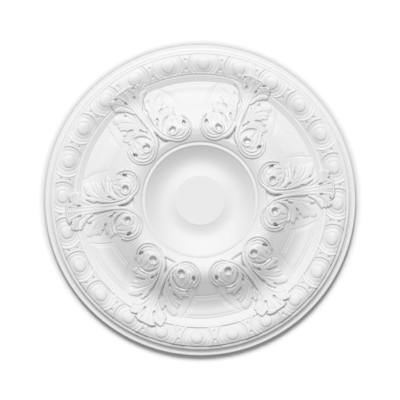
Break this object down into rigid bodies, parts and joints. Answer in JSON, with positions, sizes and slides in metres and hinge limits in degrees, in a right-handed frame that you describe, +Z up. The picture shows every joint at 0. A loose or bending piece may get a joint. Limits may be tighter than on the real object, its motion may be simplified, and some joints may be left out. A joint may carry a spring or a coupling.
{
  "type": "ceiling rose",
  "caption": "Round moulded ceiling rose: dished centre with a flat disc for a lamp's cover, ring of acanthus palmettes with scrolls, panelled field, egg-and-dart border, flat back.",
  "frame": {"origin": "middle of the flat back, in the plane that meets the ceiling", "axes": "+Z up into the ceiling, so the carved face looks down along -Z as in use; +X and +Y lie in the ceiling"},
  "size_m": [0.6198, 0.62, 0.072],
  "materials": {
    "casting": "matt white primer over moulded foam, smooth as plaster"
  },
  "bodies": {
    "root": {"ceiling_rose": "casting"}
  },
  "joints": []
}
